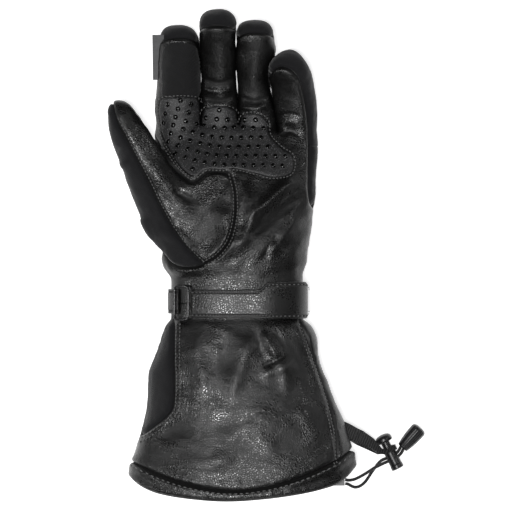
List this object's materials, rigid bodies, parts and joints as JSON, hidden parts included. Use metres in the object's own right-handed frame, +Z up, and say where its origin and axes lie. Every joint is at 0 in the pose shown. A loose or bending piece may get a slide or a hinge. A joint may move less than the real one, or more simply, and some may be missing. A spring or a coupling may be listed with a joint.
{
  "type": "heated gauntlet glove",
  "caption": "Left gauntlet glove in leather and softshell, lying palm up, with wrist strap, dotted grip patch and a hem drawcord with its lock.",
  "frame": {"origin": "middle of the glove's own box, on the surface that it lies on", "axes": "+Z up out of the palm, +Y from cuff to fingertips, +X across the palm towards the little finger"},
  "size_m": [0.2256, 0.348, 0.0607],
  "materials": {
    "leather": "soft grained, low gloss",
    "softshell": "matt fine weave",
    "grip_fabric": "matt with raised dots",
    "label": "woven satin",
    "plastic": "moulded, satin",
    "webbing": "ribbed webbing",
    "cord": "braided elastic"
  },
  "bodies": {
    "glove": {"palm_panel": "leather", "thumb_front": "leather", "thumb_back": "softshell", "back_panel": "softshell", "index_front": "leather", "index_back": "softshell", "middle_front": "leather", "middle_back": "softshell", "ring_front": "leather", "ring_back": "softshell", "little_front": "leather", "little_back": "softshell", "cuff_front": "leather", "cuff_side_panel": "softshell", "cuff_gusset": "leather", "cuff_back": "softshell", "hem_binding": "leather", "grip_patch": "grip_fabric", "touch_panel": "grip_fabric", "side_label": "label", "wrist_strap": "leather", "strap_ring": "plastic", "ring_tab": "leather", "tether": "webbing", "cord_outlet": "webbing", "cord_lock_body": "plastic", "cord_end": "plastic", "drawcord_upper": "cord", "drawcord_lower": "cord"},
    "plunger": {"cord_lock_plunger": "plastic"}
  },
  "joints": [
    {"name": "lock_plunger_press", "type": "slide", "parent": "glove", "child": "plunger", "axis": [0.4462, -0.8949, 0], "range_m": [0, 0.0035], "stiffness_N_per_m": 400, "springref_m": -0.004}
  ]
}
